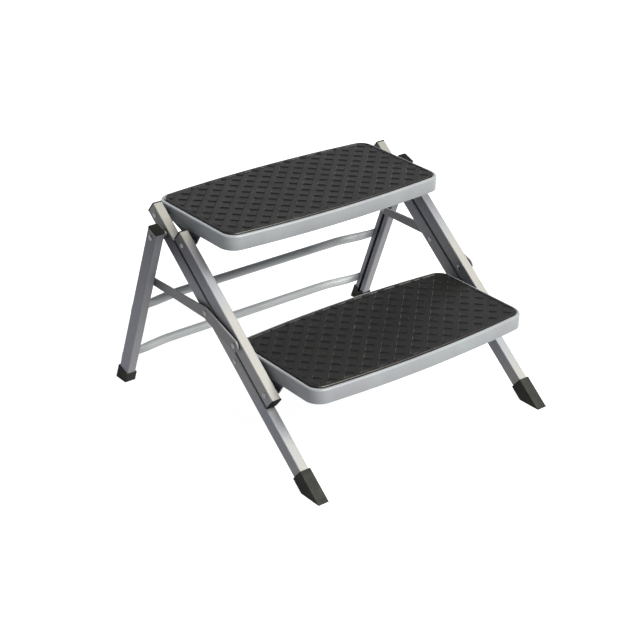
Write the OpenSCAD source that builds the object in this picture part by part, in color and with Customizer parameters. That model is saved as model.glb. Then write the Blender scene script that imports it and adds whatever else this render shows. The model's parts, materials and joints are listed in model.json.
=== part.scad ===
// Folding two-tread step stool.
// X runs across the stool, Y from front to back, Z up.  The origin is on the
// floor, midway between the front feet's tips and the rear feet's heels.
// "u" is a distance up a front leg from its foot and "v" a distance out of the
// leg's front face.  "s" is a distance down a rear leg from its hinge.

/* [Front legs] */
// Width across the two front legs, outside to outside
front_w = 514.6; // [508:0.1:517]
// Angle of a front leg above the floor, in degrees
leg_angle = 38.64; // [37:0.01:40]
// Length of a front leg, from its sole to its cap, along its front face
leg_len = 581; // [575:1:600]
// Width of a leg tube
tube_w = 18; // [16:0.5:20]
// Depth of a front leg tube
tube_d = 25; // [24:0.5:26]
// Wall of every tube
tube_wall = 1.4; // [1:0.1:2]
// Corner radius of every tube
tube_r = 2.4; // [1.6:0.1:3]

/* [Pivots, as distances up a front leg] */
// Pivot of the top tread
top_pivot_u = 564; // [560:1:568]
// Pivot of the bottom tread
bottom_pivot_u = 274; // [270:1:280]
// Hinge of the rear frame
hinge_u = 526; // [520:1:530]
// Pivot of the side lever
lever_u = 370; // [366:1:374]
// How far down the leg a link's pivot is from the tread's pivot
link_drop = 78.5; // [76:0.5:80]

/* [Links] */
// Gap between a front leg and the link that lies on it
link_gap = 3.2; // [2.6:0.1:4]
// Length of link tube past each end pivot
link_end = 20; // [16:1:22]

/* [Rear frame] */
// Width across the two rear legs, outside to outside
rear_w = 572.2; // [568:0.1:620]
// Lean of a rear leg from upright, in degrees
rear_angle = 19.24; // [18:0.01:20]
// Depth of a rear leg channel
rear_d = 25.7; // [25:0.1:27]
// Width of the slot that runs down a rear leg's inner face
slot_w = 6.6; // [6.4:0.1:8]
// Length of rear leg above the hinge
rear_end = 16; // [13:1:18]
// Diameter of the two crossbars
bar_dia = 16; // [14:0.5:16]
// Upper crossbar's distance down a rear leg from the hinge
upper_bar_s = 174; // [168:1:196]
// Lower crossbar's distance down a rear leg from the hinge
lower_bar_s = 289; // [285:1:290]

/* [Treads] */
// Width of a tread
tread_w = 467; // [440:1:470]
// Depth of a tread at its ends
tread_d = 213; // [200:1:215]
// How far the front and back edges bow out at the middle
tread_bow = 12; // [6:0.5:13]
// Corner radius of a tread, seen from above
corner_r = 28; // [20:1:30]
// Height of a tread's side wall
skirt_h = 26; // [25:0.5:30]
// Thickness of the tread's sheet metal
sheet = 1.2; // [1:0.1:2]
// Width of the rim around the mat
rim_w = 5; // [4:0.5:8]
// Depth of the recess that holds the mat
recess = 1.5; // [1:0.5:2]
// Thickness of the rubber mat
mat_t = 4.2; // [3.5:0.1:5]
// How far the top edge of the mat is drawn in by its sloped side
mat_slope = 3; // [2:0.5:4]
// Distance of the tread's pivot behind the tread's middle
pivot_back = 72; // [70:0.5:73]
// Depth of the tread's pivot under the tread's rim
pivot_drop = 14.5; // [13.5:0.5:15.5]

/* [Feet] */
// Height of a front foot along the leg
front_foot_h = 61; // [50:1:70]
// Height of a rear foot along the rear leg
rear_foot_h = 25; // [22:1:30]
// Wall of the rubber feet
foot_wall = 1.4; // [1:0.1:2]

/* [Hardware] */
// Diameter of the pivot rivets
rivet_dia = 6; // [5:0.5:6]
// Diameter of the rivet heads
head_dia = 9.5; // [8.5:0.5:10]
// Height of the rivet heads
head_h = 1.8; // [1:0.1:2]
// Diameter of the pin that slides in the slot
slide_dia = 5; // [4:0.5:5]
// Thickness of the side levers
lever_t = 3; // [2:0.5:3]
// Thickness of the tread brackets
bracket_t = 2.5; // [2:0.5:3]

/* [Hidden] */
$fn = 48;

LEFT = -1;
RIGHT = 1;
running = 0.06;          // radial clearance of a pin in its bore
snug = 0.1;              // clearance between pressed-together parts
cap_t = 1.5;             // flange of the end caps
plug_len = 14;           // length of the plug inside a tube
link_d = tube_d - 0.4;   // depth of a link tube
inner_x = front_w / 2 - tube_w;          // inner face of a front leg
rear_x = rear_w / 2 - tube_w;            // inner face of a rear leg
lever_x = front_w / 2 + 3.2;             // inner face of a lever
bracket_x = tread_w / 2 - sheet - 0.05 - bracket_t;  // inner face of a bracket
leg_v = -tube_d / 2;                     // middle of a front leg
link_v = link_gap + link_d / 2;          // middle of a link

// A point of the side view, given along the front leg and out of it: [y, z]
function leg_rel(u, v) = [
    u * cos(leg_angle) - v * sin(leg_angle),
    u * sin(leg_angle) + v * cos(leg_angle)];
hinge_rel = leg_rel(hinge_u, leg_v);
function rear_rel(s, off) = hinge_rel + [
    s * sin(rear_angle) + off * cos(rear_angle),
    -s * cos(rear_angle) + off * sin(rear_angle)];
// Distance down a rear leg to the floor, at a given distance behind its middle
function rear_floor_s(off) =
    (hinge_rel[1] + off * sin(rear_angle)) / cos(rear_angle);

heel_off = rear_d / 2 + foot_wall;
heel_rel_y = rear_rel(rear_floor_s(heel_off), heel_off)[0];
tip_rel_y = -foot_wall / sin(leg_angle);
leg_y = -(heel_rel_y + tip_rel_y) / 2;   // front leg's front face at the floor

function leg_at(u, v) = leg_rel(u, v) + [leg_y, 0];
function rear_at(s, off) = rear_rel(s, off) + [leg_y, 0];

hinge_p = leg_at(hinge_u, leg_v);
lever_a = leg_at(lever_u, leg_v);
lever_b = leg_at(lever_u - link_drop, link_v);
top_p = leg_at(top_pivot_u, leg_v);
bottom_p = leg_at(bottom_pivot_u, leg_v);
top_q = leg_at(top_pivot_u - link_drop, link_v);
bottom_q = leg_at(bottom_pivot_u - link_drop, link_v);
pivot_to_link = top_q - top_p;

// The sliding pin is as far from the lever's pivot as the hinge is, so the
// rear frame always swings half as far as the treads.
slide_s = 2 * (hinge_u - lever_u) * cos(90 - leg_angle + rear_angle);
lever_c = rear_at(slide_s, 0);
slide_end_s = 2 * (hinge_u - lever_u);   // the pin's lowest place in the slot

// ---- placing ----

// Children drawn across X at a point of the side view, from x1 to x2
module across(p, x1, x2) {
    translate([x1, p[0], p[1]]) rotate([90, 0, 90])
        linear_extrude(x2 - x1) children();
}
// A solid of revolution about X, its axis pointing outwards on the side
module turned(side, x, p) {
    translate([side * x, p[0], p[1]]) rotate([0, side * 90, 0]) children();
}
// Children drawn in a leg's own frame: X width, Y out of the leg, Z up the leg
module on_leg(side) {
    translate([side * (front_w - tube_w) / 2, leg_y, 0])
        rotate([leg_angle - 90, 0, 0]) mirror([0, 1, 0]) children();
}
// The same for a rear leg, from its hinge: Z up the leg, Y towards the back
module on_rear_leg(side) {
    translate([side * (rear_w - tube_w) / 2, hinge_p[0], hinge_p[1]])
        rotate([rear_angle, 0, 0]) children();
}

// ---- outlines ----

module rounded(w, d, r) {
    for (x = [-1, 1], y = [-1, 1])
        translate([x * (w / 2 - r), y * (d / 2 - r)]) circle(r);
    square([w - 2 * r, d], center = true);
    square([w, d - 2 * r], center = true);
}
module tube_ring(w, d) {
    difference() {
        rounded(w, d, tube_r);
        rounded(w - 2 * tube_wall, d - 2 * tube_wall, tube_r - tube_wall);
    }
}

// Outline of a tread: bowed front and back edges and round corners, with the
// whole edge drawn in by inset
function tread_outline(inset) =
    let (half_w = tread_w / 2 - inset,
         half_d = tread_d / 2 - inset,
         r = corner_r - inset,
         bow_r = (half_w * half_w + tread_bow * tread_bow) / (2 * tread_bow),
         centre = bow_r - half_d - tread_bow,
         corner_y = centre - sqrt(pow(bow_r - r, 2) - pow(half_w - r, 2)),
         turn = atan2(half_w - r, centre - corner_y),
         corner = [for (i = [0:8]) let (a = -90 + turn + i * (90 - turn) / 8)
             [half_w - r + r * cos(a), corner_y + r * sin(a)]],
         edge = [for (i = [-7:7]) let (a = i * turn / 8)
             [bow_r * sin(a), centre - bow_r * cos(a)]],
         front = concat(
             [for (i = [8:-1:0]) [-corner[i][0], corner[i][1]]], edge, corner))
    concat(front, [for (i = [len(front) - 1:-1:0]) [front[i][0], -front[i][1]]]);

module slab(inset, z, h) {
    translate([0, 0, z]) linear_extrude(h) polygon(tread_outline(inset));
}

// A flat bar with round ends
module bar(c1, r1, c2, r2) {
    hull() {
        translate(c1) circle(r1);
        translate(c2) circle(r2);
    }
}

// ---- hardware ----

// A pin along Z from z = 0 to len, with a domed head at each end
module rivet(len, dia = rivet_dia, head = head_dia) {
    cylinder(h = len, d = dia);
    translate([0, 0, len]) dome(head);
    mirror([0, 0, 1]) dome(head);
}
module dome(head) {
    rotate_extrude() {
        square([head / 2, head_h / 3]);
        intersection() {
            square([head / 2, head_h]);
            translate([0, head_h - dome_r(head)]) circle(dome_r(head), $fn = 96);
        }
    }
}
function dome_r(head) =
    (pow(head / 2, 2) + pow(head_h * 2 / 3, 2)) / (2 * head_h * 2 / 3);
module washer(len, dia) {
    difference() {
        cylinder(h = len, d = dia);
        translate([0, 0, -1]) cylinder(h = len + 2, d = rivet_dia + 2 * running);
    }
}
module bore(side, p, dia = rivet_dia) {
    turned(side, 0, p) cylinder(h = rear_w, d = dia + 2 * running);
}

// ---- front legs ----

tube_bottom = tube_d / tan(leg_angle) + 6;   // leg tube ends inside its foot

module front_leg(side) {
    color("silver") difference() {
        on_leg(side) translate([0, leg_v, tube_bottom])
            linear_extrude(leg_len - cap_t - tube_bottom)
                tube_ring(tube_w, tube_d);
        bore(side, top_p);
        bore(side, bottom_p);
        bore(side, hinge_p);
        bore(side, lever_a);
    }
}
module end_cap(w, d) {
    linear_extrude(cap_t) rounded(w, d, tube_r);
    translate([0, 0, -plug_len + 4]) linear_extrude(plug_len - 4)
        rounded(w - 2 * (tube_wall + snug), d - 2 * (tube_wall + snug),
            tube_r - tube_wall);
}
module front_leg_cap(side) {
    color("#202020") difference() {
        on_leg(side) translate([0, leg_v, leg_len - cap_t])
            end_cap(tube_w, tube_d);
        turned(side, 0, top_p) cylinder(h = rear_w, d = rivet_dia + 4);
    }
}
module front_foot(side) {
    wide = tube_w + 2 * foot_wall;
    deep = tube_d + 2 * foot_wall;
    color("#202020") difference() {
        on_leg(side) translate([-wide / 2, foot_wall, 0]) rotate([90, 0, 90])
            linear_extrude(wide) polygon([
                [0, -foot_wall / tan(leg_angle)],
                [0, front_foot_h],
                [-deep, front_foot_h],
                [-deep, (deep - foot_wall) / tan(leg_angle)]]);
        on_leg(side) translate([0, leg_v, tube_bottom])
            linear_extrude(front_foot_h)
                rounded(tube_w + 2 * snug, tube_d + 2 * snug, tube_r + snug);
    }
}

// ---- front frame's pivots ----

module tread_rivets(p) {
    for (side = [LEFT, RIGHT]) color("gainsboro")
        turned(side, bracket_x - snug, p)
            rivet(front_w / 2 - bracket_x + 2 * snug);
}
module tread_spacers() {
    for (side = [LEFT, RIGHT], p = [top_p, bottom_p]) color("#303030")
        turned(side, tread_w / 2 + snug, p)
            washer(inner_x - tread_w / 2 - 2 * snug, 12);
}
module lever_rivets() {
    for (side = [LEFT, RIGHT]) color("gainsboro")
        turned(side, inner_x - snug, lever_a)
            rivet(lever_x + lever_t - inner_x + 2 * snug);
}
module lever_washers() {
    for (side = [LEFT, RIGHT]) color("#303030")
        turned(side, front_w / 2 + snug, lever_a)
            washer(lever_x - front_w / 2 - 2 * snug, 13);
}
module hinge_rivets() {
    for (side = [LEFT, RIGHT]) color("gainsboro")
        turned(side, inner_x - snug, hinge_p)
            rivet(rear_w / 2 - inner_x + 2 * snug);
}
module hinge_spacers() {
    for (side = [LEFT, RIGHT]) color("#303030")
        turned(side, front_w / 2 + snug, hinge_p)
            washer(rear_x - front_w / 2 - 2 * snug, 16);
}
pad_w = 12;
pad_len = 18;
// Rubber pads on the front legs that the links come to rest on
module stop_pads() {
    for (side = [LEFT, RIGHT], u = [bottom_pivot_u - 40, top_pivot_u - 118])
        color("#202020") on_leg(side) translate([-pad_w / 2, 0, u])
            cube([pad_w, link_gap - 0.4, pad_len]);
}

// ---- treads ----

// A tread's own frame has its origin at the middle of its rim
module on_tread(p) {
    translate([0, p[0] - pivot_back, p[1] + pivot_drop]) children();
}
pivot_here = [pivot_back, -pivot_drop];
link_here = pivot_here + pivot_to_link;

module tread_pan(p) {
    floor_z = -recess - sheet;
    color("lightsteelblue") on_tread(p) difference() {
        slab(0, -skirt_h, skirt_h);
        slab(rim_w, -recess, recess + 1);
        slab(sheet, -skirt_h - 1, skirt_h + 1 + floor_z);
        for (side = [LEFT, RIGHT]) bore(side, pivot_here);
    }
}
mat_gap = 0.6;           // between the mat's edge and the rim
module tread_mat(p) {
    color("#252525") on_tread(p)
        hull() {
            slab(rim_w + mat_gap, -recess + 0.05, recess);
            slab(rim_w + mat_gap + mat_slope, -recess + 0.05, mat_t);
        }
}
bracket_corner = [-16, pivot_drop + 13];  // its front corner, from the link's pivot
// A plate welded inside the side wall, which hangs below it at the link's pivot
module tread_bracket(side, p) {
    x = side > 0 ? bracket_x : -bracket_x - bracket_t;
    color("gray") on_tread(p) difference() {
        across([0, 0], x, x + bracket_t) hull() {
            translate(pivot_here) circle(head_dia / 2 + 1);
            translate(link_here) circle(head_dia / 2 + 1);
            translate(link_here + bracket_corner) circle(head_dia / 2 + 2);
        }
        bore(side, pivot_here);
        bore(side, link_here);
    }
}

// ---- links ----

link_low = bottom_pivot_u - link_drop - link_end;
link_high = top_pivot_u - link_drop + link_end;

module link(side) {
    color("silver") difference() {
        on_leg(side) translate([0, link_v, link_low + cap_t])
            linear_extrude(link_high - link_low - 2 * cap_t)
                tube_ring(tube_w, link_d);
        bore(side, top_q);
        bore(side, bottom_q);
        bore(side, lever_b);
    }
}
module link_caps(side) {
    color("#202020") on_leg(side) {
        translate([0, link_v, link_high - cap_t]) end_cap(tube_w, link_d);
        translate([0, link_v, link_low + cap_t]) mirror([0, 0, 1])
            end_cap(tube_w, link_d);
    }
}
module link_rivets(side) {
    for (q = [top_q, bottom_q]) color("gainsboro")
        turned(side, bracket_x - snug, q)
            rivet(front_w / 2 - bracket_x + 2 * snug);
}
module link_spacers(side) {
    for (q = [top_q, bottom_q]) color("#303030")
        turned(side, bracket_x + bracket_t + snug, q)
            washer(inner_x - bracket_x - bracket_t - 2 * snug, 12);
}
module link_lever_rivet(side) {
    color("gainsboro") turned(side, inner_x - snug, lever_b)
        rivet(lever_x + lever_t - inner_x + 2 * snug);
}
module link_washer(side) {
    color("#303030") turned(side, front_w / 2 + snug, lever_b)
        washer(lever_x - front_w / 2 - 2 * snug, 13);
}

// ---- levers ----

lever_rear_r = 7;                        // half the lever's width at its rear end,
lever_mid_r = 10;                        // at its pivot on the leg
lever_front_r = 11;                      // and at its front end
module lever(side) {
    x = side > 0 ? lever_x : -lever_x - lever_t;
    color("silver") difference() {
        across([0, 0], x, x + lever_t) {
            bar(lever_c - [0, 1], lever_rear_r, lever_a, lever_mid_r);
            bar(lever_a, lever_mid_r, lever_b, lever_front_r);
        }
        bore(side, lever_a);
        bore(side, lever_b);
        bore(side, lever_c, slide_dia);
    }
}
roller_x = rear_x + tube_wall + 1.2;
roller_len = 7;
module slide_pin(side) {
    color("gainsboro") turned(side, lever_x - snug, lever_c)
        rivet(roller_x + roller_len - lever_x + 3 * snug, slide_dia, 8.5);
}
module slide_roller(side) {
    color("white") turned(side, roller_x, lever_c) difference() {
        cylinder(h = roller_len, d = 13);
        translate([0, 0, -1])
            cylinder(h = roller_len + 2, d = slide_dia + 2 * running);
    }
}

// ---- rear frame ----

sole_t = 5;
rear_bottom = -rear_floor_s(0) + rear_d / 2 * tan(rear_angle) + sole_t;

module rear_leg(side) {
    color("silver") difference() {
        on_rear_leg(side) translate([0, 0, rear_bottom])
            linear_extrude(rear_end - cap_t - rear_bottom) difference() {
                tube_ring(tube_w, rear_d);
                translate([-side * tube_w / 2, 0])
                    square([2 * tube_wall + 2, slot_w], center = true);
            }
        bore(side, hinge_p);
        for (s = [upper_bar_s, lower_bar_s])
            on_rear_leg(side) translate([0, 0, -s]) rotate([-90, 0, 0])
                cylinder(h = rear_d, d = bar_rivet + 2 * snug);
    }
}
module rear_leg_cap(side) {
    color("#202020") difference() {
        on_rear_leg(side) translate([0, 0, rear_end - cap_t])
            end_cap(tube_w, rear_d);
        turned(side, 0, hinge_p) cylinder(h = rear_w, d = rivet_dia + 4);
    }
}
// The foot's inner wall is notched where the sliding pin comes down to it
module rear_foot(side) {
    wide = tube_w + 2 * foot_wall;
    deep = rear_d + 2 * foot_wall;
    sole = -rear_floor_s(0);
    top = -rear_floor_s(0) + rear_foot_h;
    color("#202020") difference() {
        on_rear_leg(side) translate([-wide / 2, 0, 0]) rotate([90, 0, 90])
            linear_extrude(wide) polygon([
                [-deep / 2, sole + deep / 2 * tan(rear_angle)],
                [deep / 2, sole - deep / 2 * tan(rear_angle)],
                [deep / 2, top],
                [-deep / 2, top]]);
        on_rear_leg(side) translate([0, 0, rear_bottom])
            linear_extrude(rear_foot_h + 10)
                rounded(tube_w + 2 * snug, rear_d + 2 * snug, tube_r + snug);
        on_rear_leg(side)
            translate([-side * wide / 2, 0, rear_foot_h / 2 - slide_end_s - slide_dia])
                cube([4 * foot_wall, slot_w + 1, rear_foot_h], center = true);
    }
}
bar_off = rear_d / 2 + bar_dia / 2 + 0.05;
tab_t = 4;                               // thickness of a crossbar's flat ends
tab_h = 19;                              // height of a crossbar's flat ends
tab_in = rear_x - 5;                     // where a flat end begins
tab_out = rear_w / 2 - 2;                // where it stops
bar_rivet = 4;                           // diameter of a crossbar's rivets
// A tube whose ends are crimped flat, one side level with the leg
module crossbar(s) {
    at = rear_at(s, bar_off);
    straight = rear_x - 24;
    color("darkgray") difference() {
        translate([0, at[0], at[1]]) rotate([rear_angle, 0, 0]) {
            rotate([0, 90, 0]) cylinder(h = 2 * straight, d = bar_dia, center = true);
            for (side = [LEFT, RIGHT]) {
                hull() {
                    translate([side * (straight - 1), 0, 0]) rotate([0, 90, 0])
                        cylinder(h = 1, d = bar_dia - 0.4, center = true, $fn = 32);
                    translate([side * (tab_in + 1), (tab_t - bar_dia) / 2, 0])
                        cube([1, tab_t - 0.4, tab_h - 0.4], center = true);
                }
                translate([side * (tab_in + tab_out) / 2, (tab_t - bar_dia) / 2, 0])
                    cube([tab_out - tab_in, tab_t, tab_h], center = true);
            }
        }
        for (side = [LEFT, RIGHT])
            on_rear_leg(side) translate([0, 0, -s]) rotate([-90, 0, 0])
                cylinder(h = 2 * rear_d, d = bar_rivet + 2 * snug);
    }
}
module crossbar_rivets() {
    for (side = [LEFT, RIGHT], s = [upper_bar_s, lower_bar_s]) color("gainsboro")
        on_rear_leg(side) translate([0, rear_d / 2 - tube_wall - snug, -s])
            rotate([-90, 0, 0])
                rivet(tube_wall + tab_t + 0.05 + 2 * snug, bar_rivet, 2 * bar_rivet);
}

// ---- the nodes ----

module front_leg_left() { front_leg(LEFT); }
module front_leg_right() { front_leg(RIGHT); }
module front_leg_cap_left() { front_leg_cap(LEFT); }
module front_leg_cap_right() { front_leg_cap(RIGHT); }
module front_foot_left() { front_foot(LEFT); }
module front_foot_right() { front_foot(RIGHT); }
module top_tread_rivets() { tread_rivets(top_p); }
module bottom_tread_rivets() { tread_rivets(bottom_p); }
module top_tread_pan() { tread_pan(top_p); }
module top_tread_mat() { tread_mat(top_p); }
module top_tread_bracket_left() { tread_bracket(LEFT, top_p); }
module top_tread_bracket_right() { tread_bracket(RIGHT, top_p); }
module bottom_tread_pan() { tread_pan(bottom_p); }
module bottom_tread_mat() { tread_mat(bottom_p); }
module bottom_tread_bracket_left() { tread_bracket(LEFT, bottom_p); }
module bottom_tread_bracket_right() { tread_bracket(RIGHT, bottom_p); }
module link_left() { link(LEFT); }
module link_caps_left() { link_caps(LEFT); }
module link_rivets_left() { link_rivets(LEFT); }
module link_spacers_left() { link_spacers(LEFT); }
module link_lever_rivet_left() { link_lever_rivet(LEFT); }
module link_washer_left() { link_washer(LEFT); }
module link_right() { link(RIGHT); }
module link_caps_right() { link_caps(RIGHT); }
module link_rivets_right() { link_rivets(RIGHT); }
module link_spacers_right() { link_spacers(RIGHT); }
module link_lever_rivet_right() { link_lever_rivet(RIGHT); }
module link_washer_right() { link_washer(RIGHT); }
module lever_left() { lever(LEFT); }
module slide_pin_left() { slide_pin(LEFT); }
module slide_roller_left() { slide_roller(LEFT); }
module lever_right() { lever(RIGHT); }
module slide_pin_right() { slide_pin(RIGHT); }
module slide_roller_right() { slide_roller(RIGHT); }
module rear_leg_left() { rear_leg(LEFT); }
module rear_leg_right() { rear_leg(RIGHT); }
module rear_leg_cap_left() { rear_leg_cap(LEFT); }
module rear_leg_cap_right() { rear_leg_cap(RIGHT); }
module rear_foot_left() { rear_foot(LEFT); }
module rear_foot_right() { rear_foot(RIGHT); }
module crossbar_upper() { crossbar(upper_bar_s); }
module crossbar_lower() { crossbar(lower_bar_s); }

front_leg_left();
front_leg_right();
front_leg_cap_left();
front_leg_cap_right();
front_foot_left();
front_foot_right();
top_tread_rivets();
bottom_tread_rivets();
tread_spacers();
lever_rivets();
lever_washers();
hinge_rivets();
hinge_spacers();
stop_pads();
top_tread_pan();
top_tread_mat();
top_tread_bracket_left();
top_tread_bracket_right();
bottom_tread_pan();
bottom_tread_mat();
bottom_tread_bracket_left();
bottom_tread_bracket_right();
link_left();
link_caps_left();
link_rivets_left();
link_spacers_left();
link_lever_rivet_left();
link_washer_left();
link_right();
link_caps_right();
link_rivets_right();
link_spacers_right();
link_lever_rivet_right();
link_washer_right();
lever_left();
slide_pin_left();
slide_roller_left();
lever_right();
slide_pin_right();
slide_roller_right();
rear_leg_left();
rear_leg_right();
rear_leg_cap_left();
rear_leg_cap_right();
rear_foot_left();
rear_foot_right();
crossbar_upper();
crossbar_lower();
crossbar_rivets();
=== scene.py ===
import json
import math

import bpy
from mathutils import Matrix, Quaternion, Vector


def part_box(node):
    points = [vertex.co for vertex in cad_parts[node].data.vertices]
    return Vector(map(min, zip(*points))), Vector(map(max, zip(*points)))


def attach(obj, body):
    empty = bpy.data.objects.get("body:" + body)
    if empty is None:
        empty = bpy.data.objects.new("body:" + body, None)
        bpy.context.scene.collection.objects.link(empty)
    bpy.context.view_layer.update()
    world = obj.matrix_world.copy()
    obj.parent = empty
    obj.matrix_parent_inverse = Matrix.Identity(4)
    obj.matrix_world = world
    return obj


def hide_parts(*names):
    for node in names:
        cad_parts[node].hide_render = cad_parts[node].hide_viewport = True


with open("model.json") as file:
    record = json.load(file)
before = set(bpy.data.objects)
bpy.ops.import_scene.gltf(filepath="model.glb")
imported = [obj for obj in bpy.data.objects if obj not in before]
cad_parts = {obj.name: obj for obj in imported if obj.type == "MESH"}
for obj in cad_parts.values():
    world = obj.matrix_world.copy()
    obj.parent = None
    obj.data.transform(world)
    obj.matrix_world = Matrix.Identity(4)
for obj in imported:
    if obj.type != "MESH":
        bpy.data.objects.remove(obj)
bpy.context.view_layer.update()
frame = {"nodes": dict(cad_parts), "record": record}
scene = bpy.context.scene

# ---- the photograph's camera ----

CAMERA_AT = Vector((-1.555471, -1.831451, 1.367137))
CAMERA_TOWARDS = Vector((0.5678477, 0.6855846, -0.4555467))
CAMERA_ROLL = math.radians(1.352)
LENS = 86.5425


def camera():
    data = bpy.data.cameras.new("camera")
    data.lens = LENS
    data.sensor_width = 36
    ob = bpy.data.objects.new("camera", data)
    ob.location = CAMERA_AT
    level = CAMERA_TOWARDS.to_track_quat("-Z", "Y")
    ob.rotation_euler = (level @ Quaternion((0, 0, 1), CAMERA_ROLL)).to_euler()
    scene.collection.objects.link(ob)
    scene.camera = ob


# ---- materials ----

MM = 0.001
LEG_TILT = math.radians(38.64 - 90)      # how far a front leg leans from upright, about X
REAR_TILT = math.radians(19.24)          # and a rear leg
TUBES_TOP = 0.36                         # height at which the tubes' bands of painted shade and painted reflection end
PAINTED_SIDE_TINT = (0.90, 0.92, 1.04)          # the tubes' sides painted cooler than their fronts, a painted reflection
RUBBER_TINT = (1.0, 0.95, 0.88, 1.0)     # rubber reflects a little warm
WORN_EDGE = 0.5 * MM                     # sharp edges catch light as if this round


class Shader:
    """A node material: a Principled shader and what feeds it."""

    def __init__(self, name):
        self.material = bpy.data.materials.new(name)
        self.material.use_nodes = True
        self.tree = self.material.node_tree
        self.shader = self.tree.nodes["Principled BSDF"]
        coordinates = self.node("ShaderNodeTexCoord")
        self.position = coordinates.outputs["Object"]
        self.facing = coordinates.outputs["Normal"]

    def node(self, kind, **inputs):
        made = self.tree.nodes.new(kind)
        for name, value in inputs.items():
            self.feed(made.inputs[name.replace("_", " ")], value)
        return made

    def feed(self, socket, value):
        if isinstance(value, bpy.types.NodeSocket):
            self.tree.links.new(value, socket)
        else:
            socket.default_value = value

    def set(self, name, value):
        self.feed(self.shader.inputs[name], value)

    def stretched(self, tilt, scale):
        """Object coordinates turned about X by tilt and scaled along each axis."""
        turned = self.node("ShaderNodeVectorRotate", Vector=self.position, Angle=tilt)
        turned.rotation_type = "X_AXIS"
        return self.node("ShaderNodeMapping", Vector=turned.outputs[0],
                         Scale=scale).outputs[0]

    def math(self, operation, value, by=0.0):
        made = self.node("ShaderNodeMath", Value=value)
        made.operation = operation
        made.inputs[1].default_value = by
        return made.outputs[0]

    def noise(self, scale, detail=3, roughness=0.55, vector=None):
        made = self.node("ShaderNodeTexNoise", Vector=vector or self.position,
                         Scale=scale, Detail=detail, Roughness=roughness)
        return made.outputs["Fac"]

    def ramp(self, factor, *stops):
        made = self.node("ShaderNodeValToRGB", Fac=factor)
        while len(made.color_ramp.elements) < len(stops):
            made.color_ramp.elements.new(0.5)
        for element, (place, colour) in zip(made.color_ramp.elements, stops):
            element.position = place
            if isinstance(colour, (int, float)):
                colour = (colour, colour, colour)
            element.color = (*colour, 1)
        return made.outputs["Color"]

    def multiplied(self, share, colour, by):
        """The colour times another, as far as share says."""
        made = self.node("ShaderNodeMix")
        made.data_type = "RGBA"
        made.blend_type = "MULTIPLY"
        if isinstance(by, tuple):
            by = (*by, 1)
        for number, value in ((0, share), (6, colour), (7, by)):    # the colour sockets
            self.feed(made.inputs[number], value)
        return made.outputs[2]

    def relief(self, height, distance, strength):
        """Bumps, over edges that look slightly worn."""
        rounded = self.node("ShaderNodeBevel", Radius=WORN_EDGE)
        rounded.samples = 4
        bump = self.node("ShaderNodeBump", Height=height, Distance=distance,
                         Strength=strength, Normal=rounded.outputs[0])
        self.set("Normal", bump.outputs[0])


def tube_metal(name, tilt, painted_light_bands):
    """Satin silver tube: long drawing lines, bands of painted shade and painted reflection by
    height, and sides painted cooler than fronts.
    """
    s = Shader(name)
    lines = s.noise(1, 4, 0.7, s.stretched(tilt, (900, 900, 6)))
    up = s.node("ShaderNodeSeparateXYZ", Vector=s.position).outputs["Z"]
    # painted shade and painted reflection: the colour follows height, not the lamps
    tone = s.ramp(s.math("MULTIPLY", up, 1 / TUBES_TOP),
                  *((z / TUBES_TOP, colour) for z, colour in painted_light_bands))
    tone = s.multiplied(0.25, tone, s.ramp(s.noise(9, 2), (0.4, 0.8), (0.6, 1.0)))
    # painted reflection: faces turned sideways are tinted cooler than the fronts
    across = s.node("ShaderNodeSeparateXYZ", Vector=s.facing).outputs["X"]
    tone = s.multiplied(s.math("ABSOLUTE", across), tone, PAINTED_SIDE_TINT)
    tone = s.multiplied(0.16, tone, s.ramp(lines, (0.3, 0.55), (0.7, 1.0)))
    s.set("Base Color", tone)
    s.set("Specular IOR Level", 0.38)
    s.set("Roughness", s.ramp(lines, (0.3, 0.46), (0.7, 0.60)))
    s.relief(lines, 0.00003, 0.5)
    return s.material


def paint(name, light, dark, roughness=0.36, specular=0.2):
    """Satin paint on pressed steel: fine grain and slight blotches."""
    s = Shader(name)
    blotch = s.noise(11, 4, 0.6)
    fine = s.noise(1400, 2)
    s.set("Base Color", s.multiplied(0.12, s.ramp(blotch, (0.3, dark), (0.7, light)),
                                     s.ramp(fine, (0.35, 0.6), (0.65, 1.0))))
    s.set("Specular IOR Level", specular)
    s.set("Roughness", s.ramp(blotch, (0.3, roughness - 0.05), (0.7, roughness + 0.07)))
    s.relief(fine, 0.00002, 0.35)
    return s.material


def rubber(name, light, dark, roughness=0.55, grain=700, relief=0.00006, specular=0.4):
    """Moulded rubber or plastic: matt grain and scuffed, dusty patches."""
    s = Shader(name)
    scuff = s.noise(26, 5, 0.65)
    fine = s.noise(grain, 3)
    base = s.ramp(scuff, (0.38, dark), (0.66, light))
    s.set("Base Color", s.multiplied(0.3, base, s.ramp(fine, (0.3, 0.45), (0.7, 1.0))))
    s.set("Roughness", s.ramp(scuff, (0.35, roughness + 0.08), (0.7, roughness - 0.06)))
    s.set("Specular IOR Level", specular)
    s.set("Specular Tint", RUBBER_TINT)
    s.relief(fine, relief, 0.5)
    return s.material


def bright_steel(name):
    """Zinc plated rivets with small tooling marks."""
    s = Shader(name)
    marks = s.noise(900, 3, 0.6)
    s.set("Base Color", s.ramp(marks, (0.3, (0.13, 0.13, 0.14)), (0.7, (0.24, 0.24, 0.25))))
    s.set("Metallic", 0.85)
    s.set("Roughness", s.ramp(marks, (0.3, 0.25), (0.7, 0.42)))
    s.relief(marks, 0.00004, 0.4)
    return s.material
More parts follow.
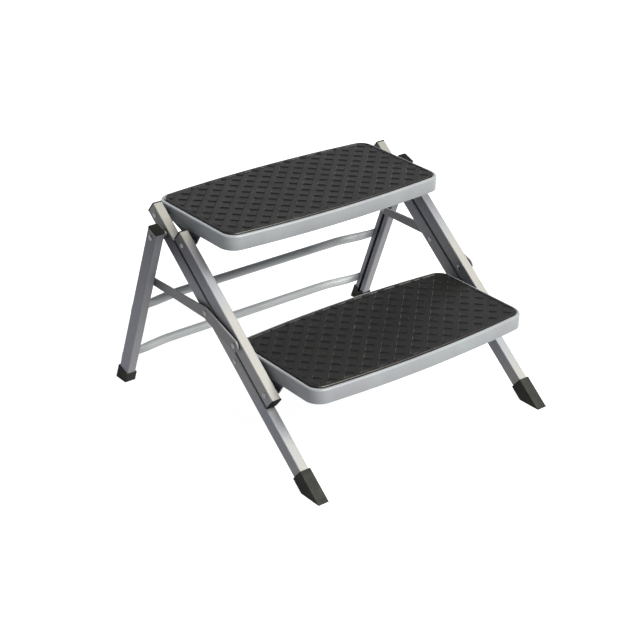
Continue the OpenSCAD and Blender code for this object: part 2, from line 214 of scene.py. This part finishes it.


# a tube's painted shade and painted reflection colours, each at its height in metres
# painted shade where the treads shade the tops of the legs and links, with warm and cool
# painted reflections lower down
LEG_METAL = tube_metal("leg_metal", LEG_TILT, (
    (0.035, (0.146, 0.143, 0.129)), (0.095, (0.120, 0.125, 0.138)),
    (0.136, (0.146, 0.143, 0.129)), (0.228, (0.146, 0.143, 0.131)),
    (0.252, (0.120, 0.124, 0.128)), (0.272, (0.086, 0.089, 0.098)),
    (0.292, (0.050, 0.051, 0.057)), (0.316, (0.046, 0.045, 0.046)),
    (0.330, (0.072, 0.068, 0.058)), (0.345, (0.108, 0.105, 0.090))))
# painted shade: darker towards the top
REAR_METAL = tube_metal("rear_leg_metal", REAR_TILT, (
    (0.090, (0.132, 0.133, 0.140)), (0.130, (0.120, 0.121, 0.128)),
    (0.175, (0.112, 0.113, 0.122)), (0.215, (0.092, 0.094, 0.104)),
    (0.260, (0.078, 0.080, 0.090)), (0.300, (0.060, 0.061, 0.070))))
FINISHES = {
    "rivet_steel": bright_steel("rivet_steel"),
    "foot_rubber": rubber("foot_rubber", (0.020, 0.0207, 0.018), (0.010, 0.0105, 0.010),
                          0.6, specular=0.06),
    "cap_plastic": rubber("cap_plastic", (0.0065, 0.0068, 0.006), (0.004, 0.0042, 0.004),
                          0.7, specular=0.05),
    "washer_plastic": rubber("washer_plastic", (0.012, 0.012, 0.013), (0.007, 0.007, 0.008)),
    "roller_nylon": rubber("roller_nylon", (0.30, 0.29, 0.27), (0.24, 0.235, 0.22), 0.5),
    "bracket_steel": paint("bracket_steel", (0.075, 0.080, 0.092), (0.055, 0.060, 0.072)),
    "lever_steel": paint("lever_steel", (0.115, 0.115, 0.12), (0.085, 0.085, 0.09), 0.4),
    "crossbar_steel": paint("crossbar_steel", (0.255, 0.27, 0.27), (0.22, 0.23, 0.235),
                            0.36, 0.35),
    "tread_paint": paint("tread_paint", (0.152, 0.165, 0.168), (0.134, 0.137, 0.146), 0.34),
    "mat_rubber": rubber("mat_rubber", (0.0050, 0.0050, 0.0048), (0.0034, 0.0034, 0.0033),
                         0.36, 900, 0.00005, 0.35),
}


def finish_of(node):
    slot = next(p["material_slot"] for p in frame["record"]["subparts"] if p["node"] == node)
    if slot == "tube_aluminium":
        return REAR_METAL if node.startswith("rear") else LEG_METAL
    return FINISHES[slot]


def dress_carried_nodes():
    for name, ob in frame["nodes"].items():
        for place in ob.material_slots:
            place.material = finish_of(name)


# ---- mesh pieces ----

def piece(name, points, faces, body, slot, smooth_angle):
    """A mesh that rides a body, smooth up to an angle in degrees."""
    mesh = bpy.data.meshes.new(name)
    mesh.from_pydata(points, [], faces)
    mesh.materials.append(FINISHES[slot])
    mesh.validate()
    mesh.shade_smooth()
    mesh.set_sharp_from_angle(angle=math.radians(smooth_angle))
    ob = bpy.data.objects.new(name, mesh)
    scene.collection.objects.link(ob)
    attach(ob, body)
    return ob


def joined(first, count, rings):
    """The faces between closed rings of count points, the first of them at first."""
    faces = []
    for k in range(rings - 1):
        low = first + k * count
        for i in range(count):
            j = (i + 1) % count
            faces.append((low + i, low + j, low + count + j, low + count + i))
    return faces


# ---- treads ----

BOW = 12 * MM            # how far the long edges bow out at the middle
CORNER = 28 * MM
RIM = 5 * MM             # flat rim around the mat
RIM_ROUND = 3.6 * MM     # rounding of the rim's outer edge
RIM_EDGE = 0.5 * MM      # and of its inner edge
SHEET = 1.2 * MM
SHEET_BEND = 2 * MM      # the bend from the side wall, seen from underneath
HEM = 0.6 * MM           # rounding of the side wall's lower edge
RECESS = 1.5 * MM        # the bed of the mat, below the rim
CORNER_STEPS = 12
EDGE_STEPS = 20          # along half of a long edge


class Tread:
    """The outline of a tread, taken from its CAD pan."""

    def __init__(self, node):
        low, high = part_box(node)
        self.half_w = (high[0] - low[0]) / 2
        self.half_d = (high[1] - low[1]) / 2 - BOW
        self.centre = Vector(((high[0] + low[0]) / 2, (high[1] + low[1]) / 2, high[2]))
        self.height = high[2] - low[2]

    def front(self, inset):
        """The front half of the outline, from left to right."""
        half_w, half_d, r = self.half_w - inset, self.half_d - inset, CORNER - inset
        bow_r = (half_w ** 2 + BOW ** 2) / (2 * BOW)
        middle = bow_r - half_d - BOW
        corner_y = middle - math.sqrt((bow_r - r) ** 2 - (half_w - r) ** 2)
        turn = math.atan2(half_w - r, middle - corner_y)
        corner = []
        for i in range(CORNER_STEPS + 1):
            a = -math.pi / 2 + turn + i * (math.pi / 2 - turn) / CORNER_STEPS
            corner.append((half_w - r + r * math.cos(a), corner_y + r * math.sin(a)))
        edge = []
        for i in range(1 - EDGE_STEPS, EDGE_STEPS):
            a = i * turn / EDGE_STEPS
            edge.append((bow_r * math.sin(a), middle - bow_r * math.cos(a)))
        return [(-x, y) for x, y in reversed(corner)] + edge + corner

    def ring(self, inset, z):
        """The whole outline, at a height above the rim."""
        half = self.front(inset)
        flat = half + [(x, -y) for x, y in reversed(half)]
        return [(self.centre.x + x, self.centre.y + y, self.centre.z + z) for x, y in flat]

    def lathe(self, profile):
        """Rings from (inset, z) points, closed across at both ends."""
        points = []
        for inset, z in profile:
            points += self.ring(inset, z)
        count = len(points) // len(profile)
        faces = joined(0, count, len(profile))
        last = (len(profile) - 1) * count
        for i in range(count // 2 - 1):
            a, b, c, d = i, i + 1, count - 2 - i, count - 1 - i
            faces.append((d, c, b, a))
            faces.append((last + a, last + b, last + c, last + d))
        return points, faces


def arc(inset, z, r, start, end, steps):
    """Points of an arc in a cross-section, angles in degrees from outwards to up."""
    out = []
    for i in range(steps + 1):
        a = math.radians(start + (end - start) * i / steps)
        out.append((inset - r * math.cos(a), z + r * math.sin(a)))
    return out


def pan(name, body):
    """A pressed tread with a rounded rim, open underneath."""
    tread = Tread(name)
    hem_z, under_z = HEM - tread.height, -RECESS - SHEET
    profile = [(SHEET + SHEET_BEND, under_z), (SHEET, under_z - SHEET_BEND), (SHEET, hem_z)]
    profile += arc(HEM, hem_z, HEM, -150, 0, 5)
    profile += arc(RIM_ROUND, -RIM_ROUND, RIM_ROUND, 0, 90, 7)
    profile += arc(RIM - RIM_EDGE, -RIM_EDGE, RIM_EDGE, 90, 180, 3)
    profile += [(RIM, -RECESS)]
    ob = piece(name + "_skin", *tread.lathe(profile), body, "tread_paint", 50)
    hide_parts(name)


# ---- mats: heights are from the tread's rim, insets from its outline ----

MAT_EDGE = 6.2 * MM
MAT_BASE = -1.4 * MM
MAT_SIDE = 0.8 * MM      # where the upright side ends and its rounding starts
MAT_ROUND = 3.4 * MM     # width of that rounding
PAD_TOP = 2.7 * MM       # the mat stands proud of the rim
MAT_FLOOR = 1.2 * MM     # between the pads
BORDER = 12.3 * MM       # a raised border runs round the pads
BORDER_SLOPE = 1.2 * MM
BORDER_EDGE = 0.4 * MM   # width of the border's softened edge
SOFTENED = 0.08 * MM     # how far a softened edge drops
FILLET = 0.1 * MM        # at the foot of the border
SUNK = 0.1 * MM          # how far a pad goes into the mat
PAD_SIDE = 15 * MM
PAD_EDGE = 0.45 * MM     # width of a pad's rounded edge
PAD_WALL = 0.35 * MM     # its wall stops this far below its top
PITCH_X = 17.75 * MM
PITCH_Y = 17.5 * MM
PATTERN_AT = (-2.3 * MM, 2.5 * MM)    # the pattern's middle, from the tread's
LEAST_PAD = 10 * MM * MM              # a cut pad smaller than this is left out
LEAST_SIDE = 0.4 * MM


def clipped(polygon, border):
    """A convex polygon cut to a convex border, both anticlockwise."""
    for i, a in enumerate(border):
        b = border[(i + 1) % len(border)]
        side = [(b[0] - a[0]) * (p[1] - a[1]) - (b[1] - a[1]) * (p[0] - a[0])
                for p in polygon]
        if min(side, default=0) >= 0:
            continue
        kept = []
        for k, p in enumerate(polygon):
            q, s, t = polygon[k - 1], side[k - 1], side[k]
            if s * t < 0:
                f = s / (s - t)
                kept.append((q[0] + f * (p[0] - q[0]), q[1] + f * (p[1] - q[1])))
            if t >= 0:
                kept.append(p)
        polygon = kept
    return tidied(polygon)


def tidied(polygon):
    """Without points that are too close to the last one kept."""
    out = []
    for p in polygon:
        if not out or math.dist(p, out[-1]) > LEAST_SIDE:
            out.append(p)
    if len(out) > 1 and math.dist(out[0], out[-1]) <= LEAST_SIDE:
        out.pop()
    return out


def shrunk(polygon, by):
    """With every side moved inwards."""
    out = []
    for i, p in enumerate(polygon):
        a, b = polygon[i - 1], polygon[(i + 1) % len(polygon)]
        u = Vector((p[0] - a[0], p[1] - a[1])).normalized()
        v = Vector((b[0] - p[0], b[1] - p[1])).normalized()
        n, m = Vector((-u.y, u.x)), Vector((-v.y, v.x))
        d = (n + m) * (by / (1 + n.dot(m)))
        out.append((p[0] + d.x, p[1] + d.y))
    return out


def area(polygon):
    return sum(a[0] * b[1] - b[0] * a[1]
               for a, b in zip(polygon, polygon[1:] + polygon[:1])) / 2


def mat(name, pan_name, body):
    """A moulded mat with a plain border round a field of square pads set cornerwise."""
    tread = Tread(pan_name)
    profile = [(MAT_EDGE, MAT_BASE), (MAT_EDGE, MAT_SIDE)]
    for turn in (30, 50, 70, 90):
        a = math.radians(turn)
        profile.append((MAT_EDGE + MAT_ROUND * (1 - math.cos(a)),
                        MAT_SIDE + (PAD_TOP - MAT_SIDE) * math.sin(a)))
    profile += [(BORDER - BORDER_SLOPE - BORDER_EDGE, PAD_TOP),
                (BORDER - BORDER_SLOPE, PAD_TOP - SOFTENED),
                (BORDER, MAT_FLOOR + FILLET), (BORDER + FILLET, MAT_FLOOR)]
    points, faces = tread.lathe(profile)
    border = [(x, y) for x, y, z in tread.ring(BORDER - BORDER_SLOPE / 2, 0)]
    half = PAD_SIDE / math.sqrt(2)
    columns = int(tread.half_w / PITCH_X) + 1
    rows = int((tread.half_d + BOW) / PITCH_Y) + 1
    for i in range(-columns, columns + 1):
        for j in range(-rows, rows + 1):
            if (i + j) % 2 == 0:
                continue
            x = tread.centre.x + PATTERN_AT[0] + i * PITCH_X
            y = tread.centre.y + PATTERN_AT[1] + j * PITCH_Y
            pad = clipped([(x, y - half), (x + half, y), (x, y + half), (x - half, y)], border)
            if len(pad) >= 3 and area(pad) >= LEAST_PAD:
                add_pad(points, faces, pad, tread.centre.z)
    ob = piece(name + "_skin", points, faces, body, "mat_rubber", 40)
    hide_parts(name)


def add_pad(points, faces, pad, rim_z):
    """A low pad with steep sides, a rounded edge and a flat top, sunk into the mat."""
    n, start = len(pad), len(points)
    steps = ((0, MAT_FLOOR - SUNK), (0.2 * PAD_EDGE, PAD_TOP - PAD_WALL),
             (0.5 * PAD_EDGE, PAD_TOP - SOFTENED), (PAD_EDGE, PAD_TOP),
             (2 * PAD_EDGE, PAD_TOP))
    for by, z in steps:
        points += [(x, y, rim_z + z) for x, y in shrunk(pad, by)]
    faces += joined(start, n, len(steps))
    faces.append(tuple(range(start + n - 1, start - 1, -1)))
    faces.append(tuple(range(len(points) - n, len(points))))


# ---- lips of the end caps ----

LIP = 2.4 * MM           # how far a cap reaches down its tube
LIP_T = 0.12 * MM
TUBE_R = 2 * MM          # the tubes' rounded corners
LIP_STEPS = 6            # round a corner
ONE_CAP = 40 * MM        # a node longer than this holds a cap for each end


def cap_lips(name, tilt, body):
    """A thin lip round the tube below each flange of the CAD caps."""
    node = frame["nodes"][name]
    up = Vector((0, -math.sin(tilt), math.cos(tilt)))
    back = Vector((0, math.cos(tilt), math.sin(tilt)))
    corners = [node.matrix_world @ v.co for v in node.data.vertices]
    high = max(p.dot(up) for p in corners)
    low = min(p.dot(up) for p in corners)
    ends = [(high, -1)] + ([(low, 1)] if high - low > ONE_CAP else [])
    near = [p for p in corners if abs(p.dot(up) - high) < MM]
    x1, x2 = min(p.x for p in near) - LIP_T, max(p.x for p in near) + LIP_T
    v1 = min(p.dot(back) for p in near) - LIP_T
    v2 = max(p.dot(back) for p in near) + LIP_T
    points, faces = [], []
    for end, inwards in ends:
        rings = ((LIP_T, LIP_T), (2 * LIP_T, 0), (LIP - LIP_T, 0), (LIP, LIP_T))
        for depth, inset in rings:
            for cx, cv, turn in ((x2, v2, 0), (x1, v2, 90), (x1, v1, 180), (x2, v1, 270)):
                for i in range(LIP_STEPS + 1):
                    a = math.radians(turn + 90 * i / LIP_STEPS)
                    r = TUBE_R - inset
                    x = cx - math.copysign(TUBE_R, cx - (x1 + x2) / 2) + r * math.cos(a)
                    v = cv - math.copysign(TUBE_R, cv - (v1 + v2) / 2) + r * math.sin(a)
                    points.append(Vector((x, 0, 0)) + back * v + up * (end + inwards * depth))
        around = 4 * (LIP_STEPS + 1)
        for face in joined(len(points) - around * len(rings), around, len(rings)):
            faces.append(face if inwards > 0 else face[::-1])
    piece(name + "_lips", points, faces, body, "cap_plastic", 50)


# ---- crossbars ----

BAR_R = 8 * MM
TAB_T = 4 * MM           # the crimped ends
TAB_H = 19 * MM
CRIMP = 40 * MM          # length over which a bar goes from round to flat
BEND = 90 * MM           # and over which it bends in to its ends
BEND_STEPS = 18
BAR_STEPS = 40           # round the bar
SQUARED = 0.62           # how square a crimped end is, from 0 for round
END_CHAMFER = (0.6 * MM, 0.5 * MM)    # along the bar and across it


def eased(t):
    """From 1 at 0 down to 0 at 1, with level ends."""
    return 0.5 + 0.5 * math.cos(math.pi * min(max(t, 0), 1))


def crossbar(name):
    """A tube whose ends are crimped flat against the rear legs."""
    low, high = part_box(name)
    centre = (low + high) / 2
    along = Vector((0, -math.sin(REAR_TILT), math.cos(REAR_TILT)))
    out = Vector((0, math.cos(REAR_TILT), math.sin(REAR_TILT)))
    half = (high[0] - low[0]) / 2
    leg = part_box("rear_leg_right")[0].x - TAB_T
    stops = [half, half - END_CHAMFER[0]]
    stops += [leg - BEND * i / BEND_STEPS for i in range(BEND_STEPS + 1)]
    stations = [-x for x in stops] + stops[::-1]
    points = []
    for k, x in enumerate(stations):
        flat, bent = eased((leg - abs(x)) / CRIMP), eased((leg - abs(x)) / BEND)
        cut = END_CHAMFER[1] if k in (0, len(stations) - 1) else 0
        power = 1 - SQUARED * flat
        thick = BAR_R + (TAB_T / 2 - BAR_R) * flat - cut
        tall = BAR_R + (TAB_H / 2 - BAR_R) * flat - cut
        offset = -(BAR_R - TAB_T / 2) * bent
        for i in range(BAR_STEPS):
            a = 2 * math.pi * i / BAR_STEPS
            u = math.copysign(abs(math.cos(a)) ** power, math.cos(a))
            v = math.copysign(abs(math.sin(a)) ** power, math.sin(a))
            place = centre + out * (offset + u * thick) + along * (v * tall)
            points.append((centre.x + x, place.y, place.z))
    faces = joined(0, BAR_STEPS, len(stations))
    faces.append(tuple(range(BAR_STEPS - 1, -1, -1)))
    faces.append(tuple(range(len(points) - BAR_STEPS, len(points))))
    ob = piece(name + "_tube", points, faces, "rear_frame", "crossbar_steel", 60)
    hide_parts(name)


# ---- floor and light ----

KEY_FROM = Vector((0.20, -0.62, 0.76))
FILL_FROM = Vector((0.05, 1.0, 0.02))
GLOW_AT = Vector((0.57, 0.69, 0.45))     # the pale background behind the object
FLOOR_HALF = 9                           # metres


def floor():
    """Pale and slightly glowing, so that hardly any shadow shows, as in the photograph."""
    s = Shader("floor")
    grain = s.noise(3, 2)
    s.set("Base Color", s.ramp(grain, (0.3, 0.150), (0.7, 0.160)))
    s.set("Roughness", 0.9)
    s.set("Specular IOR Level", 0.0)
    s.set("Emission Color", (1, 1, 1, 1))
    s.set("Emission Strength", 0.95)
    mesh = bpy.data.meshes.new("floor")
    r = FLOOR_HALF
    mesh.from_pydata([(-r, -r, 0), (r, -r, 0), (r, r, 0), (-r, r, 0)], [], [(0, 1, 2, 3)])
    mesh.materials.append(s.material)
    ob = bpy.data.objects.new("floor", mesh)
    scene.collection.objects.link(ob)


def lamp(name, come_from, energy, spread, colour):
    """A far lamp, spread degrees across."""
    data = bpy.data.lights.new(name, "SUN")
    data.energy = energy
    data.angle = math.radians(spread)
    data.color = colour
    ob = bpy.data.objects.new(name, data)
    ob.rotation_euler = come_from.to_track_quat("Z", "Y").to_euler()
    scene.collection.objects.link(ob)


def studio():
    """Grey surroundings with a pale side, a soft lamp in front and a weaker one behind."""
    world = bpy.data.worlds.new("studio")
    world.use_nodes = True
    nodes, links = world.node_tree.nodes, world.node_tree.links
    direction = nodes.new("ShaderNodeTexCoord")
    towards = nodes.new("ShaderNodeVectorMath")
    towards.operation = "DOT_PRODUCT"
    towards.inputs[1].default_value = GLOW_AT
    glow = nodes.new("ShaderNodeValToRGB")
    links.new(direction.outputs["Generated"], towards.inputs[0])
    links.new(towards.outputs["Value"], glow.inputs["Fac"])
    links.new(glow.outputs["Color"], nodes["Background"].inputs["Color"])
    low, high = glow.color_ramp.elements
    low.position, low.color = 0.1, (0.20, 0.22, 0.27, 1)
    high.position, high.color = 0.95, (0.42, 0.43, 0.46, 1)
    scene.world = world
    scene.view_settings.view_transform = "Standard"
    lamp("key", KEY_FROM, 12.0, 34, (1.0, 0.985, 0.95))
    lamp("fill", FILL_FROM, 2.8, 40, (0.97, 0.98, 1.0))


camera()
dress_carried_nodes()
for which in ("top", "bottom"):
    pan(which + "_tread_pan", which + "_tread")
    mat(which + "_tread_mat", which + "_tread_pan", which + "_tread")
for which in ("upper", "lower"):
    crossbar("crossbar_" + which)
for side in ("left", "right"):
    cap_lips("front_leg_cap_" + side, LEG_TILT, "front_frame")
    cap_lips("link_caps_" + side, LEG_TILT, side + "_link")
    cap_lips("rear_leg_cap_" + side, REAR_TILT, "rear_frame")
floor()
studio()
